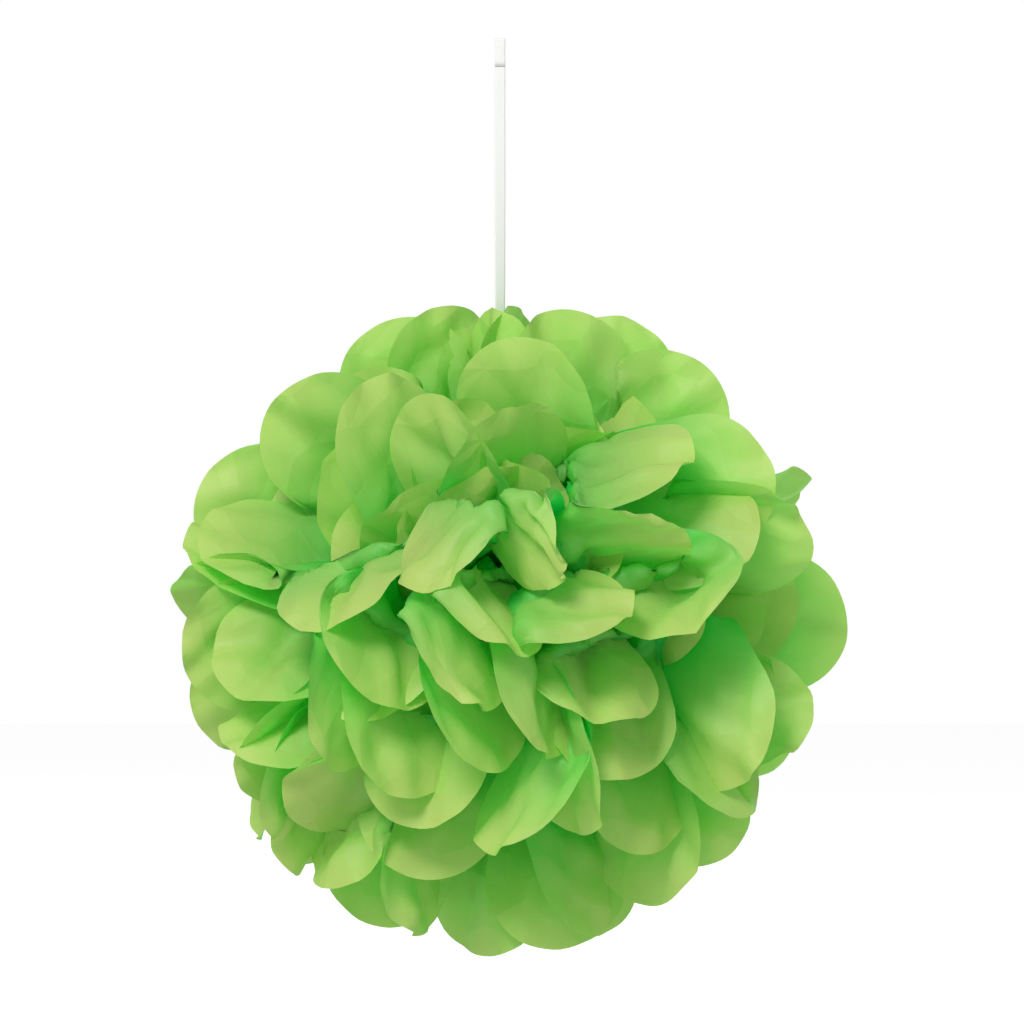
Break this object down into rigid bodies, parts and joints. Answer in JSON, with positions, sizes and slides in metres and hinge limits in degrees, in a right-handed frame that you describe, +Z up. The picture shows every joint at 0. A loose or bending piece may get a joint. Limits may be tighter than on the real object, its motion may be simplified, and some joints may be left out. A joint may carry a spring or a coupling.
{
  "type": "tissue paper pom pom",
  "caption": "Round fluffy ball of fan-folded tissue paper with round petal ends, tied at its waist and hung on a flat ribbon.",
  "frame": {"origin": "centre of the front face of the ribbon's folded tab, the point that hangs the ball", "axes": "+Z up along the hanging ribbon, -Y out of the tab's front face towards the viewer, +X to the viewer's right"},
  "size_m": [0.4131, 0.4016, 0.5545],
  "materials": {
    "tissue": "thin translucent tissue paper, lime green, matt",
    "wire": "soft florist wire",
    "ribbon": "white satin ribbon"
  },
  "bodies": {
    "root": {"sheet_01": "tissue", "sheet_02": "tissue", "sheet_03": "tissue", "sheet_04": "tissue", "sheet_05": "tissue", "sheet_06": "tissue", "sheet_07": "tissue", "sheet_08": "tissue", "sheet_09": "tissue", "sheet_10": "tissue", "wire_tie": "wire", "ribbon": "ribbon"}
  },
  "joints": []
}
